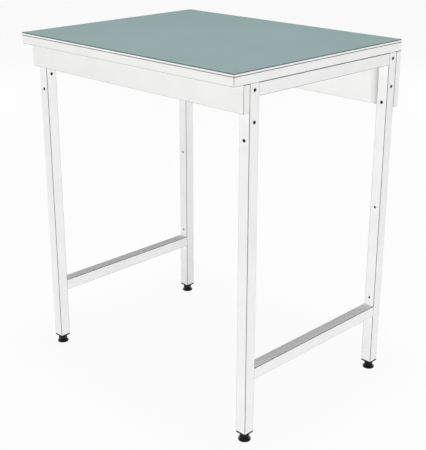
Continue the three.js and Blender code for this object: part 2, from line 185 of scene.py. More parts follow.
class Workpiece:
    """One piece in hand, modelled with operators, then dressed and handed over to a body."""

    def __init__(self, name: str) -> None:
        """Takes the object that an operator has just added, and names it and its mesh."""
        self.object: bpy.types.Object = bpy.context.object
        self.object.name = self.object.data.name = name

    @staticmethod
    def clear() -> None:
        """Deselects everything, so that the next operator acts on its own piece alone."""
        bpy.ops.object.select_all(action="DESELECT")

    @classmethod
    def block(cls, name: str, low: Vector, high: Vector) -> "Workpiece":
        """Adds a cuboid between two corners.

        Args:
            name: The piece's name.
            low: The lowest corner.
            high: The highest corner.

        Returns:
            The cuboid, with its place in its mesh.
        """
        cls.clear()
        bpy.ops.mesh.primitive_cube_add(size=1, location=(low + high) / 2)
        piece = cls(name)
        piece.object.scale = high - low
        piece.settle()
        return piece

    @classmethod
    def rod(
        cls, start: Vector, end: Vector, radius: float, sides: int = HOLE_SIDES
    ) -> "Workpiece":
        """Adds a round rod between two points, to drill with.

        Args:
            start: The middle of one end.
            end: The middle of the other end.
            radius: The rod's radius.
            sides: How many sides its outline has.

        Returns:
            The rod.
        """
        cls.clear()
        span = end - start
        bpy.ops.mesh.primitive_cylinder_add(vertices=sides, radius=radius, depth=span.length)
        piece = cls("drill")
        piece.set_at((start + end) / 2, span)
        return piece

    @classmethod
    def stacked(
        cls,
        outline: Outline,
        sections: Sequence[Pair],
        sides: int = BORE_SIDES,
        corner: float = 0.0,
    ) -> "Workpiece":
        """Raises a form about the Z axis, section by section.

        Args:
            outline: The outline of every section.
            sections: Pairs of a section's half width and its height, in order.
            sides: How many sides a round outline has.
            corner: The corner radius of a square outline.

        Returns:
            The closed form.
        """
        cls.clear()
        half, height = sections[0]
        if outline is Outline.SQUARE:
            bpy.ops.mesh.primitive_plane_add(size=2 * half)
        else:
            is_round = outline is Outline.ROUND
            radius = half if is_round else half / math.cos(HEX_HALF_ANGLE)
            count = sides if is_round else HEX_SIDES
            bpy.ops.mesh.primitive_circle_add(vertices=count, radius=radius, fill_type="NGON")
        piece = cls(outline.value)
        bpy.ops.object.mode_set(mode="EDIT")
        bpy.ops.mesh.select_all(action="SELECT")
        if corner:
            bpy.ops.mesh.bevel(offset=corner, segments=OUTLINE_FACETS, affect="VERTICES")
            bpy.ops.mesh.select_all(action="SELECT")
        if outline is Outline.HEXAGON:
            bpy.ops.transform.rotate(
                value=HEX_HALF_ANGLE, orient_axis="Z", center_override=(0, 0, 0)
            )
        bpy.ops.transform.translate(value=(0, 0, height))
        for (below, low), (above, high) in pairwise(sections):
            bpy.ops.mesh.extrude_region_move(TRANSFORM_OT_translate={"value": (0, 0, high - low)})
            ratio = above / below
            bpy.ops.transform.resize(value=(ratio, ratio, 1), center_override=(0, 0, high))
        piece.face_outwards()
        return piece

    @classmethod
    def hexagon(cls, half: float, height: float, chamfer: Pair, sides: int) -> "Workpiece":
        """Raises a hexagon along +Z from z = 0, with its corners chamfered at both ends.

        Args:
            half: Half its width across flats.
            height: Its height.
            chamfer: How far a corner's chamfer goes inwards and along the height.
            sides: How many sides the turned blank has that trims it.

        Returns:
            The hexagon.
        """
        corner = half / math.cos(HEX_HALF_ANGLE)
        inwards, along = chamfer
        piece = cls.stacked(Outline.HEXAGON, [(half, 0), (half, height)])
        blank = cls.stacked(Outline.ROUND, [
            (corner - inwards, 0),
            (corner, along),
            (corner, height - along),
            (corner - inwards, height),
        ], sides)
        piece.combine(Work.TRIM, [blank])
        return piece

    @classmethod
    def thread(cls, crest: float, pitch: float, low: float, high: float) -> "Workpiece":
        """Winds a right-hand screw thread about the Z axis.

        Args:
            crest: The radius at the crest.
            pitch: The rise of one turn.
            low: The height of the lower end.
            high: The height of the upper end.

        Returns:
            The closed threaded rod.
        """
        cls.clear()
        root = crest - THREAD_DEPTH * pitch
        flank = FLANK_RISE * pitch
        flat = (pitch - 2 * flank) / 2
        bpy.ops.mesh.primitive_plane_add(size=pitch)
        piece = cls("thread")
        bpy.ops.object.mode_set(mode="EDIT")
        bpy.ops.mesh.select_mode(type=Part.VERTEX.value)
        bpy.ops.mesh.select_all(action="SELECT")
        bpy.ops.mesh.merge(type="CENTER")
        bpy.ops.transform.translate(value=(root, 0, low - LEAD_IN * pitch))
        for outwards, rise in ((0, flat), (crest - root, flank), (0, flat), (root - crest, flank)):
            bpy.ops.mesh.extrude_region_move(TRANSFORM_OT_translate={"value": (outwards, 0, rise)})
        bpy.ops.object.mode_set(mode="OBJECT")
        piece.modify(
            "SCREW", axis="Z", angle=2 * math.pi, screw_offset=pitch, steps=THREAD_STEPS,
            render_steps=THREAD_STEPS, iterations=math.ceil((high - low) / pitch) + SPARE_TURNS,
        )
        bpy.ops.object.mode_set(mode="EDIT")
        bpy.ops.mesh.select_all(action="SELECT")
        bpy.ops.mesh.remove_doubles(threshold=MERGE_SHARE * pitch)
        for height, outer in ((low, False), (high, True)):
            bpy.ops.mesh.select_all(action="SELECT")
            bpy.ops.mesh.bisect(
                plane_co=(0, 0, height), plane_no=UP, use_fill=True,
                clear_inner=not outer, clear_outer=outer, threshold=CUT_SHARE * pitch,
            )
        piece.face_outwards()
        return piece

    def settle(self) -> None:
        """Applies the object's transform, so that its place is in its mesh."""
        self.activate()
        bpy.ops.object.transform_apply(location=True, rotation=True, scale=True)

    def activate(self) -> None:
        """Makes this the one piece that operators act on."""
        self.clear()
        self.object.select_set(True)
        bpy.context.view_layer.objects.active = self.object

    def set_at(self, place: Vector, facing: Vector) -> None:
        """Sets the piece's origin at a place and its +Z facing some way, in its mesh."""
        self.object.matrix_world = Matrix.LocRotScale(place, facing.to_track_quat("Z", "Y"), None)
        self.settle()

    def modify(self, kind: str, **settings: Any) -> None:
        """Puts a modifier on the piece and applies it.

        Args:
            kind: The modifier's type.
            **settings: The modifier's settings.
        """
        modifier = self.object.modifiers.new("work", kind)
        for key, value in settings.items():
            setattr(modifier, key, value)
        self.activate()
        bpy.ops.object.modifier_apply(modifier=modifier.name)

    def face_outwards(self) -> None:
        """Turns all faces outwards and leaves edit mode."""
        bpy.ops.mesh.select_all(action="SELECT")
        bpy.ops.mesh.normals_make_consistent(inside=False)
        bpy.ops.object.mode_set(mode="OBJECT")

    @contextmanager
    def chosen(self, part: Part, test: Test) -> Iterator[None]:
        """Opens the piece in edit mode, with what passes a test selected, and closes it again.

        Args:
            part: Whether edges or faces are selected.
            test: Says whether an edge or face is.

        Yields:
            Nothing, while the piece is open.
        """
        self.activate()
        bpy.ops.object.mode_set(mode="EDIT")
        bpy.ops.mesh.select_mode(type=part.value)
        bpy.ops.mesh.select_all(action="DESELECT")
        mesh = bmesh.from_edit_mesh(self.object.data)
        for item in mesh.edges if part is Part.EDGE else mesh.faces:
            if test(item):
                item.select_set(True)
        bmesh.update_edit_mesh(self.object.data)
        yield
        bpy.ops.object.mode_set(mode="OBJECT")

    def round_edges(self, test: Test, radius: float, facets: int) -> None:
        """Rounds the edges that pass a test, with some facets."""
        with self.chosen(Part.EDGE, test):
            bpy.ops.mesh.bevel(offset=radius, segments=facets, affect="EDGES")

    def remove_faces(self, test: Test) -> None:
        """Opens the piece where its faces pass a test."""
        with self.chosen(Part.FACE, test):
            bpy.ops.mesh.delete(type="ONLY_FACE")

    def combine(self, work: Work, tools: Iterable["Workpiece"]) -> None:
        """Works on the piece with tools, one after the other, and discards them.

        Args:
            work: What the tools do to the piece.
            tools: The pieces to cut, join or trim with.
        """
        for tool in tools:
            self.modify("BOOLEAN", operation=work.value, solver="EXACT", object=tool.object)
            tool.discard()

    def discard(self) -> None:
        """Removes a piece that was only a tool or a pattern."""
        bpy.data.meshes.remove(self.object.data)

    def mend(self) -> None:
        """Merges doubled points and dissolves the slivers that cuts have left."""
        with self.chosen(Part.FACE, lambda face: True):
            bpy.ops.mesh.remove_doubles(threshold=SLIVER)
            bpy.ops.mesh.dissolve_degenerate(threshold=SLIVER)

    def smooth(self, bend: float = SOFT_BEND) -> None:
        """Mends the mesh, shades round forms smooth and keeps flat faces flat.

        Args:
            bend: The sharpest bend that is still shaded smooth, in degrees.
        """
        self.mend()
        self.activate()
        bpy.ops.object.shade_smooth_by_angle(angle=math.radians(bend))
        self.modify("WEIGHTED_NORMAL", keep_sharp=True)

    def copy(self, name: str, place: Vector, facing: Vector = UP) -> "Workpiece":
        """Sets a copy of this pattern in its place.

        Args:
            name: The copy's name.
            place: Where the pattern's origin goes.
            facing: Where the pattern's +Z goes.

        Returns:
            The copy, with a mesh of its own.
        """
        self.activate()
        bpy.ops.object.duplicate(linked=False)
        piece = Workpiece(name)
        piece.set_at(place, facing)
        return piece

    def dress(self, finish: "Finish", body: str, node: str) -> None:
        """Gives the finished piece its finish and hands it over to its body.

        Args:
            finish: The surface finish.
            body: The body that the piece rides on.
            node: The solid that the piece stands for.
        """
        self.object.data.materials.append(finish.material())
        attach(self.object, body)
        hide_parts(node)
        log.info("%s: %d faces, on %s", self.object.name, len(self.object.data.polygons), body)

    def inlay(self, finish: "Finish", test: Test) -> None:
        """Gives the faces that pass a test a finish of their own.

        Args:
            finish: The finish of those faces.
            test: Says whether a face gets it.
        """
        self.object.data.materials.append(finish.material())
        with self.chosen(Part.FACE, test):
            self.object.active_material_index = len(self.object.data.materials) - 1
            bpy.ops.object.material_slot_assign()


class Nodes:
    """A node tree and the ways to add to it."""

    def __init__(self, tree: bpy.types.NodeTree) -> None:
        """Takes the node tree of a material or a world in hand."""
        self.tree = tree

    def add(self, kind: str, inputs: dict | None = None, **properties: Any) -> bpy.types.Node:
        """Adds a node.

        Args:
            kind: The node's type.
            inputs: Values or sockets for the node's inputs, by name or index.
            **properties: The node's own settings.

        Returns:
            The node.
        """
        node = self.tree.nodes.new(kind)
        for key, value in properties.items():
            setattr(node, key, value)
        for key, value in (inputs or {}).items():
            self.feed(node.inputs[key], value)
        return node

    def feed(self, socket: Socket, value: Any) -> None:
        """Links or sets one input.

        Args:
            socket: The input.
            value: A socket to link, or a value to set.
        """
        if isinstance(value, Socket):
            self.tree.links.new(value, socket)
        else:
            socket.default_value = value

    def math(self, operation: str, *values: Any) -> Socket:
        """Works out a number from numbers or sockets."""
        node = self.add("ShaderNodeMath", dict(enumerate(values)), operation=operation)
        return node.outputs[0]

    def looked_at(self) -> Socket:
        """Tells a ray of sight, direct or by a mirror-like surface, from one that carries light.

        Returns:
            1 for a ray of sight, and 0 for one that only carries light.
        """
        path = self.add("ShaderNodeLightPath").outputs
        mirrored = self.math("MAXIMUM", path["Is Glossy Ray"], path["Is Transmission Ray"])
        return self.math("MAXIMUM", path["Is Camera Ray"], mirrored)


class Shader(Nodes):
    """A principled material and the nodes that feed it."""

    def __init__(self, name: str) -> None:
        """Starts a material.

        Args:
            name: The material's name.
        """
        self.material = bpy.data.materials.new(name)
        self.material.use_nodes = True
        super().__init__(self.material.node_tree)
        self.surface = self.tree.nodes["Principled BSDF"]
        self.place = self.add("ShaderNodeTexCoord").outputs["Object"]

    def set(self, **inputs: Any) -> None:
        """Links or sets the surface's inputs, with underscores for spaces in their names."""
        for key, value in inputs.items():
            self.feed(self.surface.inputs[key.replace("_", " ")], value)

    def noise(self, feature: float, detail: float = 2.0) -> Socket:
        """Adds an even noise from 0 to 1 with features of a size, and finer layers of detail."""
        inputs = {"Vector": self.place, "Scale": 1 / feature, "Detail": detail}
        return self.add("ShaderNodeTexNoise", inputs).outputs[0]

    def spread(self, value: Socket, low: float, high: float, band: Pair = NOISE_BAND) -> Socket:
        """Carries a value from a band of values over to a range, and keeps it in there."""
        ranges = zip(("From Min", "From Max", "To Min", "To Max"), (*band, low, high))
        return self.add("ShaderNodeMapRange", {"Value": value, **dict(ranges)}).outputs[0]

    def blend(self, factor: Any, first: Any, second: Any) -> Socket:
        """Blends two colours, with the sockets by index, as their names stand for others too."""
        inputs = {0: factor, 6: first, 7: second}
        return self.add("ShaderNodeMix", inputs, data_type="RGBA").outputs[2]

    def bump(
        self, height: Socket, depth: float, strength: float, over: Socket | None = None
    ) -> Socket:
        """Raises a fine relief.

        Args:
            height: The relief, from 0 to 1.
            depth: The depth of the relief, in metres.
            strength: How strongly it shows.
            over: The normal of another relief that this one lies over.

        Returns:
            The bent normal.
        """
        inputs = {"Height": height, "Distance": depth, "Strength": strength}
        if over is not None:
            inputs["Normal"] = over
        return self.add("ShaderNodeBump", inputs).outputs[0]

    def facing(self, axis: str) -> Socket:
        """Tells how far the surface faces along X, Y or Z, from -1 to 1."""
        normal = self.add("ShaderNodeNewGeometry").outputs["Normal"]
        return self.add("ShaderNodeSeparateXYZ", {0: normal}).outputs[axis]

    def eased(self) -> Socket:
        """Finds the rounded and eased edges of a squared piece.

        Returns:
            0 on faces square to an axis, rising to 1 in the middle of an edge's rounding.
        """
        shares = [self.math("ABSOLUTE", self.facing(axis)) for axis in "XYZ"]
        square = self.math("MAXIMUM", self.math("MAXIMUM", *shares[:2]), shares[2])
        return self.spread(square, 0, 1, ROUNDING_BAND)


@dataclass(frozen=True)
class Finish:
    """A surface finish, made once and shared by the pieces that wear it."""

    name: str
    slot: str
    colour: Colour
    tint: Colour
    roughness: float

    def material(self) -> bpy.types.Material:
        """Finds the finish's material, or makes it.

        Returns:
            The material.
        """
        found = bpy.data.materials.get(self.name)
        if found is not None:
            return found
        shader = Shader(self.name)
        self.dress(shader)
        return shader.material

    def mottle(self, shader: Shader, noise: Socket) -> Socket:
        """Blends the finish's colour and its tint by a noise."""
        return shader.blend(shader.spread(noise, 0, 1), self.colour, self.tint)

    def gloss(self, shader: Shader, noise: Socket, play: float) -> Socket:
        """Varies the roughness by a noise, with some play either way."""
        return shader.spread(noise, self.roughness - play, self.roughness + play)

    def dress(self, shader: Shader) -> None:
        """Wires the finish's nodes."""
        raise NotImplementedError


@dataclass(frozen=True)
class PowderCoat(Finish):
    """Powder coat: satin, with a slight orange peel, and darkened on its rounded corners by
    painted shade.
    """

    # Painted shade: the dark grey that the rounded corners are blended towards.
    corner_shade: Colour = linear(60, 61, 63)
    cloud: float = 90 * MM
    peel: float = 2.2 * MM
    grain: float = 0.35 * MM

    def dress(self, shader: Shader) -> None:
        """Wires an even coat whose colour, gloss and relief vary a little, with painted shade
        darkening the rounded corners.

        Args:
            shader: The material to wire.
        """
        coat = self.mottle(shader, shader.noise(self.cloud, detail=3))
        peel = shader.noise(self.peel)
        waves = shader.bump(peel, depth=0.05 * MM, strength=0.35)
        grain = shader.noise(self.grain)
        # Painted shade: the coat's rounded corners are blended towards a dark grey.
        shader.set(
            Base_Color=shader.blend(shader.eased(), coat, self.corner_shade),
            Specular_IOR_Level=0.25,
            Roughness=self.gloss(shader, peel, play=0.05),
            Normal=shader.bump(grain, depth=0.02 * MM, strength=0.15, over=waves),
        )


@dataclass(frozen=True)
class Laminate(Finish):
    """Decor laminate: a matt patterned face on a dark core that shows at the edge."""

    core: Colour = linear(58, 60, 60)
    cloud: float = 120 * MM
    speckle: float = 0.9 * MM
    pearl: float = 0.5 * MM
    face_limit: float = 0.9

    def dress(self, shader: Shader) -> None:
        """Wires a mottled face, and the core on the sides.

        Args:
            shader: The material to wire.
        """
        features = (self.cloud, self.speckle)
        halves = [shader.spread(shader.noise(size, detail=3), 0, 0.5) for size in features]
        pearl = shader.noise(self.pearl)
        face = shader.blend(shader.math("ADD", *halves), self.colour, self.tint)
        on_top = shader.math("GREATER_THAN", shader.facing("Z"), self.face_limit)
        shader.set(
            Base_Color=shader.blend(on_top, self.core, face),
            Roughness=self.gloss(shader, pearl, play=0.06),
            Specular_IOR_Level=0.0,
            Normal=shader.bump(pearl, depth=0.03 * MM, strength=0.3),
        )


@dataclass(frozen=True)
class Melamine(Finish):
    """White melamine: smooth and satin, barely mottled, with a dark grey line at the arrises that
    is partly the trimmed edge and partly painted shade along the edges and in the seams between
    boards.
    """

    # Partly the trimmed edge and partly painted shade: the dark grey of the arrises and of the
    # seams between boards.
    trim: Colour = linear(66, 66, 65)
    cloud: float = 60 * MM
    grain: float = 0.6 * MM

    def dress(self, shader: Shader) -> None:
        """Wires the mottle, the dark grey arrises, partly trimmed edge and partly painted shade,
        and a fine pressed grain.

        Args:
            shader: The material to wire.
        """
        skin = self.mottle(shader, shader.noise(self.cloud, detail=4))
        grain = shader.noise(self.grain)
        # Partly trimmed edge, partly painted shade: the arrises are blended towards a dark grey.
        shader.set(
            Base_Color=shader.blend(shader.eased(), skin, self.trim),
            Specular_IOR_Level=0.25,
            Roughness=self.gloss(shader, grain, play=0.06),
            Normal=shader.bump(grain, depth=0.02 * MM, strength=0.25),
        )


@dataclass(frozen=True)
class Chipboard(Finish):
    """Bare chipboard, where a board is drilled: pressed chips and dark gaps between them."""

    chip: float = 2.5 * MM
    tear: float = 0.5 * MM
    shade: Pair = (0.8, 1.2)

    def dress(self, shader: Shader) -> None:
        """Wires the chips, their gaps and a torn relief.

        Args:
            shader: The material to wire.
        """
        inputs = {"Vector": shader.place, "Scale": 1 / self.chip}
        chips = shader.add("ShaderNodeTexVoronoi", inputs).outputs
        torn = shader.noise(self.tear, detail=4)
        tone = shader.math("MULTIPLY", chips["Distance"], shader.spread(torn, *self.shade))
        shader.set(
            Base_Color=shader.blend(tone, self.colour, self.tint),
            Roughness=self.gloss(shader, torn, play=0.05),
            Normal=shader.bump(torn, depth=0.15 * MM, strength=0.6),
        )


@dataclass(frozen=True)
class MouldedPlastic(Finish):
    """Moulded plastic: satin, with an eroded grain from the mould."""

    patch: float = 6 * MM
    grain: float = 0.25 * MM

    def dress(self, shader: Shader) -> None:
        """Wires the grain and a patchy gloss.

        Args:
            shader: The material to wire.
        """
        patches = shader.noise(self.patch, detail=3)
        grain = shader.noise(self.grain, detail=3)
        shader.set(
            Base_Color=self.mottle(shader, patches),
            Roughness=self.gloss(shader, patches, play=0.08),
            Specular_IOR_Level=0.16,
            Normal=shader.bump(grain, depth=0.03 * MM, strength=0.4),
        )


@dataclass(frozen=True)
class PlatedSteel(Finish):
    """Plated, blackened or bare steel: metallic, with a patchy gloss and fine scratches."""

    patch: float = 2.5 * MM
    scratch: float = 0.15 * MM

    def dress(self, shader: Shader) -> None:
        """Wires the patches and the scratches.

        Args:
            shader: The material to wire.
        """
        patches = shader.noise(self.patch, detail=4)
        scratches = shader.noise(self.scratch)
        shader.set(
            Base_Color=self.mottle(shader, patches),
            Metallic=1.0,
            Roughness=self.gloss(shader, patches, play=0.1),
            Normal=shader.bump(scratches, depth=0.01 * MM, strength=0.3),
        )


DECOR = Laminate("decor_teal", "decor_laminate", linear(146, 167, 167), linear(154, 174, 174), 0.5)
PANEL = Melamine("panel_white", "white_panel", linear(240, 240, 239), linear(236, 236, 235), 0.45)
BOARD = Melamine("board_white", "white_board", linear(240, 240, 239), linear(236, 236, 234), 0.45)
BACKING = Melamine(
    "board_backing", "white_board", linear(150, 150, 147), linear(144, 144, 141), 0.55
)
RAW_BOARD = Chipboard("board_raw", "white_board", linear(196, 164, 122), linear(128, 98, 66), 0.9)
PAINT = PowderCoat(
    "frame_white", "frame_paint", linear(240, 240, 240), linear(236, 236, 236), 0.42
)
BLACK_PLASTIC = MouldedPlastic(
    "plastic_black", "black_plastic", linear(10, 10, 11), linear(18, 18, 19), 0.42
)
# Near-black steel in holes, countersinks and tube insides: partly bare metal, partly painted shade
# that darkens these holes and hollows.
BARE_STEEL_AND_SHADE = PlatedSteel("steel_bare_and_shade", "frame_paint", linear(34, 33, 32), linear(46, 45, 44), 0.6)
BLACK_STEEL = PlatedSteel(
    "steel_black", "black_steel", linear(30, 30, 32), linear(42, 42, 44), 0.4
)
ZINC = PlatedSteel("steel_zinc", "zinc_steel", linear(188, 192, 194), linear(206, 209, 210), 0.32)


def middle(node: str) -> Vector:
    """Finds the middle of a solid's box."""
    low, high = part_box(node)
    return (low + high) / 2


def runs_along(edge: Any, axis: int) -> bool:
    """Tells whether an edge runs along an axis."""
    span = edge.verts[1].co - edge.verts[0].co
    return abs(span[axis]) > ALONG * span.length


def lies_at(item: Any, axis: int, place: float) -> bool:
    """Tells whether an edge or face lies in the plane at a place on an axis."""
    return all(abs(vertex.co[axis] - place) < IN_PLANE for vertex in item.verts)


def depths(face: Any, box: Box) -> list[float]:
    """Finds how deep the middle of a face lies in a box.

    Args:
        face: The face.
        box: The lowest and the highest corner of the box.

    Returns:
        The depth under the nearest side of the box along each axis, the least one first.
    """
    low, high = box
    spot = face.calc_center_bounds()
    return sorted(min(spot[axis] - low[axis], high[axis] - spot[axis]) for axis in (X, Y, Z))


def is_drilled(node: str) -> Test:
    """Makes a test for the faces of a board's holes."""
    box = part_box(node)
    return lambda face: depths(face, box)[0] > BOARD_SKIN


def faced_board(name: str, node: str, axis: int, corner: float, arris: float) -> Workpiece:
    """Models a board with round corners and eased edges.

    Args:
        name: The piece's name.
        node: The solid that it stands for.
        axis: The axis along its thickness.
        corner: The radius of its corners.
        arris: How far the edges of its faces are eased.

    Returns:
        The board.
    """
    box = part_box(node)
    piece = Workpiece.block(name, *box)
    piece.round_edges(lambda edge: runs_along(edge, axis), corner, CORNER_FACETS)
    for end in box:
        piece.round_edges(lambda edge: lies_at(edge, axis, end[axis]), arris, ARRIS_FACETS)
    return piece


@dataclass
class Worktop:
    """The worktop: a decor sheet on a white panel on a white board with a grey backing."""

    corner_radius: float = 1.5 * MM
    arris: float = 0.8 * MM
    decor_arris: float = 0.3 * MM
    pilot_radius: float = 2.55 * MM
    pilot_depth: float = 13.3 * MM

    def build(self) -> None:
        """Builds and dresses the three layers."""
        for node, finish, arris in (
            ("worktop_board", BOARD, self.arris),
            ("worktop_panel", PANEL, self.arris),
            ("worktop_decor", DECOR, self.decor_arris),
        ):
            layer = faced_board(f"{node}_layer", node, Z, self.corner_radius, arris)
            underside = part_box(node)[0].z
            if finish is BOARD:
                layer.combine(Work.CUT, self.pilot_drills(underside))
            layer.smooth()
            layer.dress(finish, TABLE_BODY, node)
            if finish is BOARD:
                layer.inlay(BACKING, lambda face: lies_at(face, Z, underside))
                layer.inlay(RAW_BOARD, is_drilled(node))

    def pilot_drills(self, underside: float) -> list[Workpiece]:
        """Makes the drills for the pilot holes of the screws.

        Args:
            underside: The height of the board's underside.

        Returns:
            The drills.
        """
        reach = self.pilot_depth * UP
        places = [Vector((*middle(node).xy, underside)) for node in BoardScrews.nodes()]
        return [Workpiece.rod(spot - reach, spot + reach, self.pilot_radius) for spot in places]


@dataclass
class SideFrame:
    """A side frame of square tube: two legs, an upper rail and a lower crossbar."""

    side: Side
    wall: float = 1.5 * MM
    corner_radius: float = 2 * MM
    plug_hole_radius: float = 3.3 * MM
    screw_hole_radius: float = 2.8 * MM
    rail_hole_radius: float = 2.55 * MM
    accessory_hole_radius: float = 2.25 * MM
    accessory_hole_heights: Pair = (214 * MM, 470 * MM)
    countersink: float = 0.9 * MM
    paint: float = 0.1 * MM

    def tube(self, node: str, axis: int) -> Workpiece:
        """Models an open square tube with round corners.

        Args:
            node: The solid that it stands for.
            axis: The axis that it runs along, as an index.

        Returns:
            The tube.
        """
        piece = Workpiece.block(f"{node}_tube", *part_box(node))
        piece.round_edges(lambda edge: runs_along(edge, axis), self.corner_radius, CORNER_FACETS)
        piece.remove_faces(lambda face: abs(face.normal[axis]) > SQUARE_ON)
        piece.modify("SOLIDIFY", thickness=self.wall, offset=-1, use_even_offset=True)
        return piece

    def is_bare_and_shaded(self, face: Any, box: Box) -> bool:
        """Tells whether a face gets near-black steel, partly bare metal and partly painted shade,
        as it is in a hole or on the inside of a tube.

        Args:
            face: The face.
            box: The box of the tube's solid.

        Returns:
            True if it gets the near-black steel.
        """
        least, second, _ = depths(face, box)
        in_hole = least > self.paint and second > self.corner_radius + 2 * self.paint
        return in_hole or least > self.wall / 2

    def through(self, node: str, place: Vector, axis: int, radius: float) -> Workpiece:
        """Makes a drill that goes right through a tube.

        Args:
            node: The tube's solid.
            place: A point on the hole's axis.
            axis: The axis that the hole runs along, as an index.
            radius: The hole's radius.

        Returns:
            The drill.
        """
        low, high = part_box(node)
        start, end = place.copy(), place.copy()
        start[axis] = low[axis] - self.wall
        end[axis] = high[axis] + self.wall
        return Workpiece.rod(start, end, radius)

    def leg(self, end: End) -> Workpiece:
        """Models a leg with its holes.

        Args:
            end: Whether it is the front or the rear leg.

        Returns:
            The leg.
        """
        corner = f"{end}_{self.side}"
        node = f"leg_{corner}"
        piece = self.tube(node, Z)
        drills = [
            self.through(node, middle(f"plug_{corner}_outer_{level}"), X, self.plug_hole_radius)
            for level in ("upper", "lower")
        ]
        if end is End.FRONT:
            place = middle(f"plug_{corner}_front")
            drills.append(self.through(node, place, Y, self.plug_hole_radius))
        else:
            place = middle(f"apron_screw_{self.side}")
            drills.append(self.through(node, place, Y, self.screw_hole_radius))
            front = Vector((middle(node).x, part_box(node)[0].y, 0))
            drill = self.accessory_drill()
            for height in self.accessory_hole_heights:
                drills.append(drill.copy("drill", front + height * UP, TOWARDS_USER))
            drill.discard()
        piece.combine(Work.CUT, drills)
        return piece

    def accessory_drill(self) -> Workpiece:
        """Makes a drill along +Z with a countersink, for a face at z = 0.

        Returns:
            The drill.
        """
        radius, depth = self.accessory_hole_radius, 4 * self.wall
        return Workpiece.stacked(Outline.ROUND, [
            (radius, -depth),
            (radius, -self.countersink),
            (radius + self.countersink, 0),
            (radius + self.countersink + depth, depth),
        ])

    def build(self) -> None:
        """Builds and dresses the legs, the rail and the crossbar."""
        pieces = {f"leg_{end}_{self.side}": self.leg(end) for end in End}
        rail = f"upper_rail_{self.side}"
        pieces[rail] = self.tube(rail, Y)
        pieces[rail].combine(Work.CUT, [
            self.through(rail, middle(f"rail_screw_{end}_{self.side}"), Z, self.rail_hole_radius)
            for end in End
        ])
        crossbar = f"lower_crossbar_{self.side}"
        pieces[crossbar] = self.tube(crossbar, Y)
        for node, piece in pieces.items():
            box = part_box(node)
            piece.smooth()
            piece.dress(PAINT, TABLE_BODY, node)
            # Painted shade, partly bare metal: holes, countersinks and tube insides turn
            # near-black.
            piece.inlay(BARE_STEEL_AND_SHADE, lambda face: self.is_bare_and_shaded(face, box))


@dataclass
class Apron:
    """An apron board with eased edges, drilled for its screws."""

    end: End
    corner_radius: float = 1.5 * MM
    arris: float = 0.7 * MM
    screw_hole_radius: float = 2.55 * MM
    counterbore_radius: float = 6 * MM
    web: float = 25 * MM
    bolt_hole_radius: float = 2.8 * MM
    nut_pocket_radius: float = 6 * MM
    nut_pocket_depth: float = 8 * MM

    def build(self) -> None:
        """Builds and dresses the board."""
        node = f"{self.end}_apron"
        board = faced_board(f"{node}_board", node, Y, self.corner_radius, self.arris)
        board.combine(Work.CUT, self.drills(node))
        board.smooth()
        board.dress(BOARD, TABLE_BODY, node)
        board.inlay(RAW_BOARD, is_drilled(node))

    def drills(self, node: str) -> list[Workpiece]:
        """Makes the drills for the board's holes.

        Args:
            node: The board's solid.

        Returns:
            The drills.
        """
        low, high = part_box(node)
        made = []
        for side in Side:
            spot = middle(f"{self.end}_apron_board_screw_{side}")
            above = Vector((*spot.xy, high.z + self.web))
            seat = Vector((*spot.xy, high.z - self.web))
            below = Vector((*spot.xy, low.z - self.web))
            made.append(Workpiece.rod(seat - self.web / 2 * UP, above, self.screw_hole_radius))
            made.append(Workpiece.rod(below, seat, self.counterbore_radius, BORE_SIDES))
            if self.end is End.REAR:
                bolt = middle(f"apron_screw_{side}")
                across = -self.nut_pocket_depth * TOWARDS_USER
                start, back = bolt.copy(), bolt.copy()
                start.y, back.y = low.y, high.y
                made.append(Workpiece.rod(start - across, back, self.bolt_hole_radius))
                ends = (back - across, back + across)
                made.append(Workpiece.rod(*ends, self.nut_pocket_radius, BORE_SIDES))
        return made


@dataclass
class LegPlugs:
    """Domed plugs that close the through holes of the legs."""

    head_radius: float = 4 * MM
    head_height: float = 1.6 * MM
    stem_radius: float = 3 * MM
    stem_length: float = 6 * MM
    taper: float = 0.6 * MM
    seat: float = 0.25 * MM
    sides: int = 32
    dome_steps: int = 8

    def pattern(self) -> Workpiece:
        """Models one plug along +Z, with the crown of its dome at the head's height.

        Returns:
            The plug.
        """
        sections = [
            (self.stem_radius - self.taper, -self.stem_length),
            (self.stem_radius, -self.stem_length / 2),
            (self.stem_radius, -self.seat),
            (self.head_radius, -self.seat),
        ]
        sections += dome(self.head_radius, self.head_height, self.dome_steps)
        sections.append((TIP * self.stem_radius, self.head_height))
        plug = Workpiece.stacked(Outline.ROUND, sections, self.sides)
        plug.smooth()
        return plug

    def build(self) -> None:
        """Sets a plug in every hole that carries no screw."""
        pattern = self.pattern()
        for node in sorted(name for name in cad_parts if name.startswith("plug_")):
            _, _, side, face, *_ = node.split("_")
            outwards = Vector((1 if side == Side.RIGHT else -1, 0, 0))
            facing = {
                "outer": outwards,
                "inner": -outwards,
                "front": TOWARDS_USER,
                "back": -TOWARDS_USER,
            }[face]
            low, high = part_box(node)
            half_length = abs((high - low).dot(facing)) / 2
            place = middle(node) + facing * (half_length - self.head_height)
            pattern.copy(f"{node}_cap", place, facing).dress(BLACK_PLASTIC, TABLE_BODY, node)
        pattern.discard()


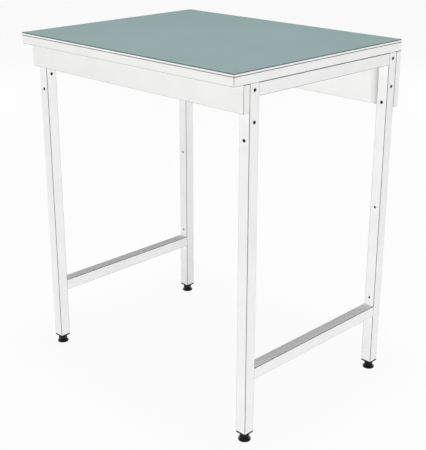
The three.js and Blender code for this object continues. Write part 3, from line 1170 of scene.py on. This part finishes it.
@dataclass
class ApronBolts:
    """Socket screws through the rear legs, with their nuts in the back of the rear apron."""

    shank_radius: float = 2.5 * MM
    plain_radius: float = 2.3 * MM
    pitch: float = 0.8 * MM
    head_radius: float = 4.25 * MM
    head_height: float = 2.4 * MM
    seat: float = 0.25 * MM
    socket_half: float = 1.5 * MM
    socket_depth: float = 1.4 * MM
    thread_length: float = 12 * MM
    nut_half: float = 4 * MM
    nut_height: float = 4 * MM
    nut_chamfer: Pair = (0.5 * MM, 0.25 * MM)
    nut_bore_radius: float = 2.75 * MM
    sides: int = 40
    dome_steps: int = 8

    def screw(self, length: float) -> Workpiece:
        """Models one screw along +Z, with the seat of its head at z = 0.

        Args:
            length: The shank's length.

        Returns:
            The screw.
        """
        thread_top = self.thread_length - length
        screw = Workpiece.stacked(Outline.ROUND, [
            (self.plain_radius, thread_top - self.pitch),
            (self.plain_radius, -self.seat),
            (self.head_radius, -self.seat),
            *dome(self.head_radius, self.head_height, self.dome_steps)[:-1],
            (self.socket_half, self.head_height),
        ], self.sides)
        socket = Workpiece.stacked(Outline.HEXAGON, [
            (self.socket_half, self.head_height - self.socket_depth),
            (self.socket_half, self.head_height + self.socket_depth),
        ])
        screw.combine(Work.CUT, [socket])
        thread = Workpiece.thread(self.shank_radius, self.pitch, -length, thread_top)
        screw.combine(Work.JOIN, [thread])
        screw.smooth()
        return screw

    def nut(self) -> Workpiece:
        """Models one nut along +Z from z = 0.

        Returns:
            The nut.
        """
        height = self.nut_height
        nut = Workpiece.hexagon(self.nut_half, height, self.nut_chamfer, BORE_SIDES)
        nut.combine(Work.CUT, [Workpiece.rod(-height * UP, 2 * height * UP, self.nut_bore_radius)])
        nut.smooth(HEX_BEND)
        return nut

    def build(self) -> None:
        """Sets the screws and nuts in their places."""
        low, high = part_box("apron_screw_left")
        screw = self.screw(high.y - low.y - self.head_height)
        nut = self.nut()
        for side in Side:
            node = f"apron_screw_{side}"
            place = middle(node)
            place.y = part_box(node)[0].y + self.head_height
            screw.copy(f"{node}_bolt", place, TOWARDS_USER).dress(BLACK_STEEL, TABLE_BODY, node)
            node = f"apron_nut_{side}"
            place = middle(node)
            place.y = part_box(node)[1].y - self.nut_height
            nut.copy(f"{node}_hex", place, -TOWARDS_USER).dress(ZINC, TABLE_BODY, node)
        screw.discard()
        nut.discard()


@dataclass
class BoardScrews:
    """Pan head screws that hold the rails and the aprons to the board."""

    shank_radius: float = 2.25 * MM
    head_radius: float = 4.5 * MM
    head_height: float = 2.6 * MM
    point: float = 4 * MM
    recess_width: float = 1 * MM
    recess_reach: float = 2.6 * MM
    recess_depth: float = 1.5 * MM
    seat: float = 0.2 * MM
    sides: int = 32
    dome_steps: int = 6

    @staticmethod
    def nodes() -> list[str]:
        """Lists the solids of these screws."""
        names = ("rail_screw_", "front_apron_board_screw_", "rear_apron_board_screw_")
        return sorted(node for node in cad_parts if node.startswith(names))

    def pattern(self, length: float) -> Workpiece:
        """Models one screw pointing along +Z, with the upper side of its head at z = 0.

        Args:
            length: The shank's length.

        Returns:
            The screw.
        """
        screw = Workpiece.stacked(Outline.ROUND, [
            (TIP * self.head_radius, -self.head_height),
            *reversed(dome(self.head_radius, -self.head_height, self.dome_steps)),
            (self.head_radius, self.seat),
            (self.shank_radius, self.seat),
            (self.shank_radius, length - self.point),
            (TIP * self.shank_radius, length),
        ], self.sides)
        floor = -self.head_height + self.recess_depth
        arms = []
        for reach_x, reach_y in (
            (self.recess_reach, self.recess_width / 2),
            (self.recess_width / 2, self.recess_reach),
        ):
            low = Vector((-reach_x, -reach_y, -2 * self.head_height))
            arms.append(Workpiece.block("recess", low, Vector((reach_x, reach_y, floor))))
        screw.combine(Work.CUT, arms)
        screw.smooth()
        return screw

    def build(self) -> None:
        """Sets the screws in their places."""
        patterns: dict[int, Workpiece] = {}
        for node in self.nodes():
            low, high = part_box(node)
            length = high.z - low.z - self.head_height
            key = round(length / MM)
            if key not in patterns:
                patterns[key] = self.pattern(length)
            place = Vector((*middle(node).xy, low.z + self.head_height))
            patterns[key].copy(f"{node}_pan", place).dress(ZINC, TABLE_BODY, node)
        for pattern in patterns.values():
            pattern.discard()


@dataclass
class LevellingFeet:
    """End caps, threaded studs with a six-sided collar, and round pads."""

    cap_corner: float = 2 * MM
    cap_arris: float = 1 * MM
    flange: float = 5 * MM
    insert_half: float = 12 * MM
    rib_half: float = 13.2 * MM
    rib_height: float = 2.5 * MM
    ribs: int = 3
    bore_radius: float = 5.3 * MM
    stud_radius: float = 5 * MM
    pitch: float = 1.5 * MM
    collar_half: float = 10.5 * MM
    collar_chamfer: Pair = (1 * MM, 0.6 * MM)
    collar_height: float = 9 * MM
    thread_start: float = 6.75 * MM
    stem: float = 4 * MM
    stem_top: float = 4.5 * MM
    stem_taper: float = 1 * MM
    stem_tip_radius: float = 4.5 * MM
    pad_radius: float = 15.5 * MM
    pad_edge: float = 1 * MM
    pad_rim: float = 4 * MM
    pad_crown: float = 11 * MM
    pad_height: float = 7 * MM
    pad_floor: float = 3 * MM
    crown_easing: Pair = (0.5 * MM, 0.4 * MM)
    grips: int = 24
    grip_radius: float = 0.7 * MM
    grip_offset: float = 0.3 * MM
    grip_sides: int = 12
    sides: int = 72

    def cap(self, length: float, half: float) -> Workpiece:
        """Models an end cap along +Z: a flange, and a ribbed insert above it.

        Args:
            length: The height of flange and insert together.
            half: Half the flange's width.

        Returns:
            The cap.
        """
        sections = [
            (half - self.cap_arris, 0),
            (half - EASED * self.cap_arris, EASED * self.cap_arris),
            (half, self.cap_arris),
            (half, self.flange),
            (self.insert_half, self.flange),
        ]
        rib_pitch = (length - self.flange) / self.ribs
        for rib in range(1, self.ribs + 1):
            top = self.flange + rib * rib_pitch
            sections += [
                (self.insert_half, top - self.rib_height),
                (self.rib_half, top - self.rib_height),
                (self.rib_half, top),
            ]
            if rib < self.ribs:
                sections.append((self.insert_half, top))
        cap = Workpiece.stacked(Outline.SQUARE, sections, corner=self.cap_corner)
        bore = Workpiece.rod(-length * UP, 2 * length * UP, self.bore_radius, BORE_SIDES)
        cap.combine(Work.CUT, [bore])
        cap.smooth()
        return cap

    def stud(self, length: float) -> Workpiece:
        """Models a stud along +Z, with the underside of its collar at z = 0.

        Args:
            length: The height of the stud above that underside.

        Returns:
            The stud.
        """
        stud = Workpiece.hexagon(
            self.collar_half, self.collar_height, self.collar_chamfer, self.sides
        )
        stem = Workpiece.stacked(Outline.ROUND, [
            (self.stem_tip_radius, -self.stem),
            (self.stud_radius, self.stem_taper - self.stem),
            (self.stud_radius, self.stem_top),
        ])
        thread = Workpiece.thread(self.stud_radius, self.pitch, self.thread_start, length)
        stud.combine(Work.JOIN, [stem, thread])
        stud.smooth(HEX_BEND)
        return stud

    def pad(self) -> Workpiece:
        """Models a pad along +Z from z = 0, with a socket for the stud and a gripped rim.

        Returns:
            The pad.
        """
        eased = EASED * self.pad_edge
        flare, drop = self.crown_easing
        pad = Workpiece.stacked(Outline.ROUND, [
            (self.pad_radius - self.pad_edge, 0),
            (self.pad_radius - eased, eased),
            (self.pad_radius, self.pad_edge),
            (self.pad_radius, self.pad_rim - self.pad_edge),
            (self.pad_radius - eased, self.pad_rim - eased),
            (self.pad_radius - self.pad_edge, self.pad_rim),
            (self.pad_crown + flare, self.pad_height - drop),
            (self.pad_crown, self.pad_height),
            (self.bore_radius, self.pad_height),
            (self.bore_radius, self.pad_floor),
        ], self.sides)
        grips = []
        for grip in range(self.grips):
            angle = 2 * math.pi * grip / self.grips
            outwards = Vector((math.cos(angle), math.sin(angle), 0))
            spot = outwards * (self.pad_radius + self.grip_offset)
            ends = (spot - self.pad_edge * UP, spot + self.pad_height * UP)
            grips.append(Workpiece.rod(*ends, self.grip_radius, self.grip_sides))
        pad.combine(Work.CUT, grips)
        pad.smooth()
        return pad

    def build(self) -> None:
        """Sets a cap, a stud and a pad under every leg."""
        low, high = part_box("leg_cap_front_left")
        cap = self.cap(high.z - low.z, (high.x - low.x) / 2)
        low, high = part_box("foot_stud_front_left")
        stud = self.stud(high.z - low.z - self.stem)
        pad = self.pad()
        for corner in (f"{end}_{side}" for end in End for side in Side):
            for pattern, node, finish, body, lift in (
                (cap, f"leg_cap_{corner}", BLACK_PLASTIC, TABLE_BODY, 0),
                (stud, f"foot_stud_{corner}", BLACK_STEEL, f"stud_{corner}", self.stem),
                (pad, f"foot_pad_{corner}", BLACK_PLASTIC, f"pad_{corner}", 0),
            ):
                place = Vector((*middle(node).xy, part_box(node)[0].z + lift))
                pattern.copy(f"{node}_form", place).dress(finish, body, node)
        for pattern in (cap, stud, pad):
            pattern.discard()


@dataclass
class Lamp:
    """A large soft lamp that points at the table."""

    name: str
    azimuth: float
    elevation: float
    distance: float
    size: Pair
    power: float

    def build(self, target: Vector) -> None:
        """Hangs the lamp.

        Args:
            target: The point that it lights.
        """
        data = bpy.data.lights.new(self.name, "AREA")
        data.shape = "RECTANGLE"
        data.size, data.size_y = self.size
        data.energy = self.power
        lamp = bpy.data.objects.new(self.name, data)
        bpy.context.scene.collection.objects.link(lamp)
        turn, rise = math.radians(self.azimuth), math.radians(self.elevation)
        back = Vector((
            math.sin(turn) * math.cos(rise), -math.cos(turn) * math.cos(rise), math.sin(rise)
        ))
        lamp.location = target + self.distance * back
        lamp.rotation_euler = back.to_track_quat("Z", "Y").to_euler()


@dataclass
class Studio:
    """A pale floor, soft lamps, a white surround, and the camera of the photograph."""

    photo_height: int = 450
    focal_pixels: float = 949.1
    centre_shift: Pair = (5.1, -19.57)
    camera_place: tuple[float, float, float] = (1.6887, -1.6901, 1.2930)
    camera_azimuth: float = 44.978
    camera_elevation: float = 19.489
    sensor: float = 36.0
    floor_size: float = 60.0
    floor_level: float = -20.5 * MM
    surround: float = 0.14
    backdrop: float = 0.975
    floor_colour: Colour = linear(232, 232, 232)
    floor_glow: float = 0.94
    lamps: tuple[Lamp, ...] = (
        Lamp("key", azimuth=44, elevation=6.5, distance=16, size=(8, 3), power=2280),
        Lamp("back", azimuth=180, elevation=5, distance=4.5, size=(2.6, 1), power=84),
        Lamp("left", azimuth=270, elevation=5, distance=4.5, size=(2.6, 1), power=84),
        Lamp("overhead", azimuth=45, elevation=86, distance=3.2, size=(0.9, 0.9), power=60),
    )

    def build(self) -> None:
        """Sets up the floor, the lamps, the surround and the camera."""
        self.lay_floor()
        low, high = cad_box
        for lamp in self.lamps:
            lamp.build((low + high) / 2)
        self.light_surround()
        self.place_camera()
        bpy.context.scene.view_settings.view_transform = "Standard"

    def lay_floor(self) -> None:
        """Lays the pale floor, with a faint shadow, just below where the longest feet reach."""
        Workpiece.clear()
        bpy.ops.mesh.primitive_plane_add(size=self.floor_size, location=self.floor_level * UP)
        piece = Workpiece("floor")
        piece.settle()
        floor = piece.object
        shader = Shader("floor_pale")
        shader.set(Base_Color=self.floor_colour, Roughness=1.0, Specular_IOR_Level=0.0)
        glow = shader.add("ShaderNodeEmission")
        share = shader.math("MULTIPLY", shader.looked_at(), self.floor_glow)
        inputs = {0: share, 1: shader.surface.outputs[0], 2: glow.outputs[0]}
        mixed = shader.add("ShaderNodeMixShader", inputs)
        output = shader.tree.nodes["Material Output"]
        shader.feed(output.inputs["Surface"], mixed.outputs[0])
        floor.data.materials.append(shader.material)

    def light_surround(self) -> None:
        """Makes the surround white to look at, and a softer light on the table."""
        world = bpy.data.worlds.new("surround")
        bpy.context.scene.world = world
        world.use_nodes = True
        nodes = Nodes(world.node_tree)
        background = world.node_tree.nodes["Background"]
        inputs = {"Value": nodes.looked_at(), "To Min": self.surround, "To Max": self.backdrop}
        strength = nodes.add("ShaderNodeMapRange", inputs).outputs[0]
        nodes.feed(background.inputs["Color"], (1, 1, 1, 1))
        nodes.feed(background.inputs["Strength"], strength)

    def place_camera(self) -> None:
        """Sets the camera where the photograph was taken from."""
        data = bpy.data.cameras.new("camera")
        data.sensor_width = self.sensor
        data.lens = self.focal_pixels / self.photo_height * self.sensor
        data.shift_x, data.shift_y = (shift / self.photo_height for shift in self.centre_shift)
        camera = bpy.data.objects.new("camera", data)
        camera.location = self.camera_place
        tilt = math.radians(90 - self.camera_elevation)
        camera.rotation_euler = (tilt, 0, math.radians(self.camera_azimuth))
        bpy.context.scene.collection.objects.link(camera)
        bpy.context.scene.camera = camera


def main() -> None:
    """Builds the studio and the sub-assemblies in order."""
    logging.basicConfig(level=logging.INFO, format="%(message)s")
    Studio().build()
    Worktop().build()
    for side in Side:
        SideFrame(side).build()
    for end in End:
        Apron(end).build()
    LegPlugs().build()
    ApronBolts().build()
    BoardScrews().build()
    LevellingFeet().build()


if __name__ == "__main__":
    main()
